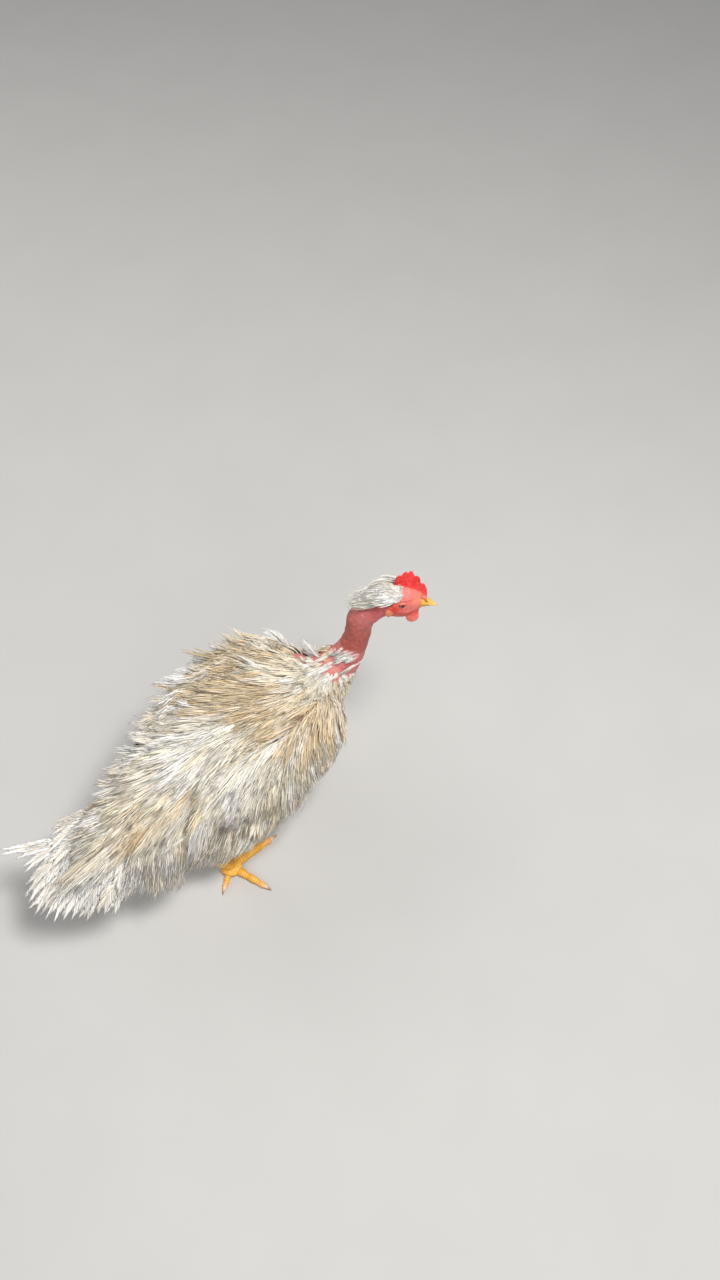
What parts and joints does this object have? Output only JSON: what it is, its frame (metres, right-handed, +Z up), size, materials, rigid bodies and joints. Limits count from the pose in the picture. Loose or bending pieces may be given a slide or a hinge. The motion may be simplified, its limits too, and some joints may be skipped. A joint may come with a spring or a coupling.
{
  "type": "rooster",
  "caption": "Young naked-neck rooster with ragged cream and buff feathers, a bare red neck, a feather cap and a single comb, walking with its head turned aside.",
  "frame": {"origin": "middle of the bird's bounding box, on the floor under its feet", "axes": "+X forward, the way the body walks, +Y to the bird's left, +Z up"},
  "size_m": [0.4843, 0.1952, 0.3421],
  "materials": {
    "plumage": "matt, ragged feathers, cream white with buff",
    "bare_skin": "bare pink-red skin, satin",
    "face_skin": "red face skin, satin",
    "lobe_skin": "yellowish skin, satin",
    "comb_skin": "bright red, satin",
    "beak_horn": "smooth horn, satin",
    "leg_scale": "yellow scales, satin",
    "claw_horn": "smooth horn, satin",
    "eye_wet": "wet gloss"
  },
  "bodies": {
    "root": {"torso": "plumage", "neck": "bare_skin", "head": "face_skin", "beak_upper": "beak_horn", "beak_lower": "beak_horn", "comb": "comb_skin", "tail": "plumage", "eye_left": "eye_wet", "wattle_left": "comb_skin", "earlobe_left": "lobe_skin", "wing_left": "plumage", "thigh_left": "plumage", "shank_left": "leg_scale", "toe_inner_left": "leg_scale", "claw_inner_left": "claw_horn", "toe_middle_left": "leg_scale", "claw_middle_left": "claw_horn", "toe_outer_left": "leg_scale", "claw_outer_left": "claw_horn", "toe_hind_left": "leg_scale", "claw_hind_left": "claw_horn", "eye_right": "eye_wet", "wattle_right": "comb_skin", "earlobe_right": "lobe_skin", "wing_right": "plumage", "thigh_right": "plumage", "shank_right": "leg_scale", "toe_inner_right": "leg_scale", "claw_inner_right": "claw_horn", "toe_middle_right": "leg_scale", "claw_middle_right": "claw_horn", "toe_outer_right": "leg_scale", "claw_outer_right": "claw_horn", "toe_hind_right": "leg_scale", "claw_hind_right": "claw_horn"}
  },
  "joints": []
}
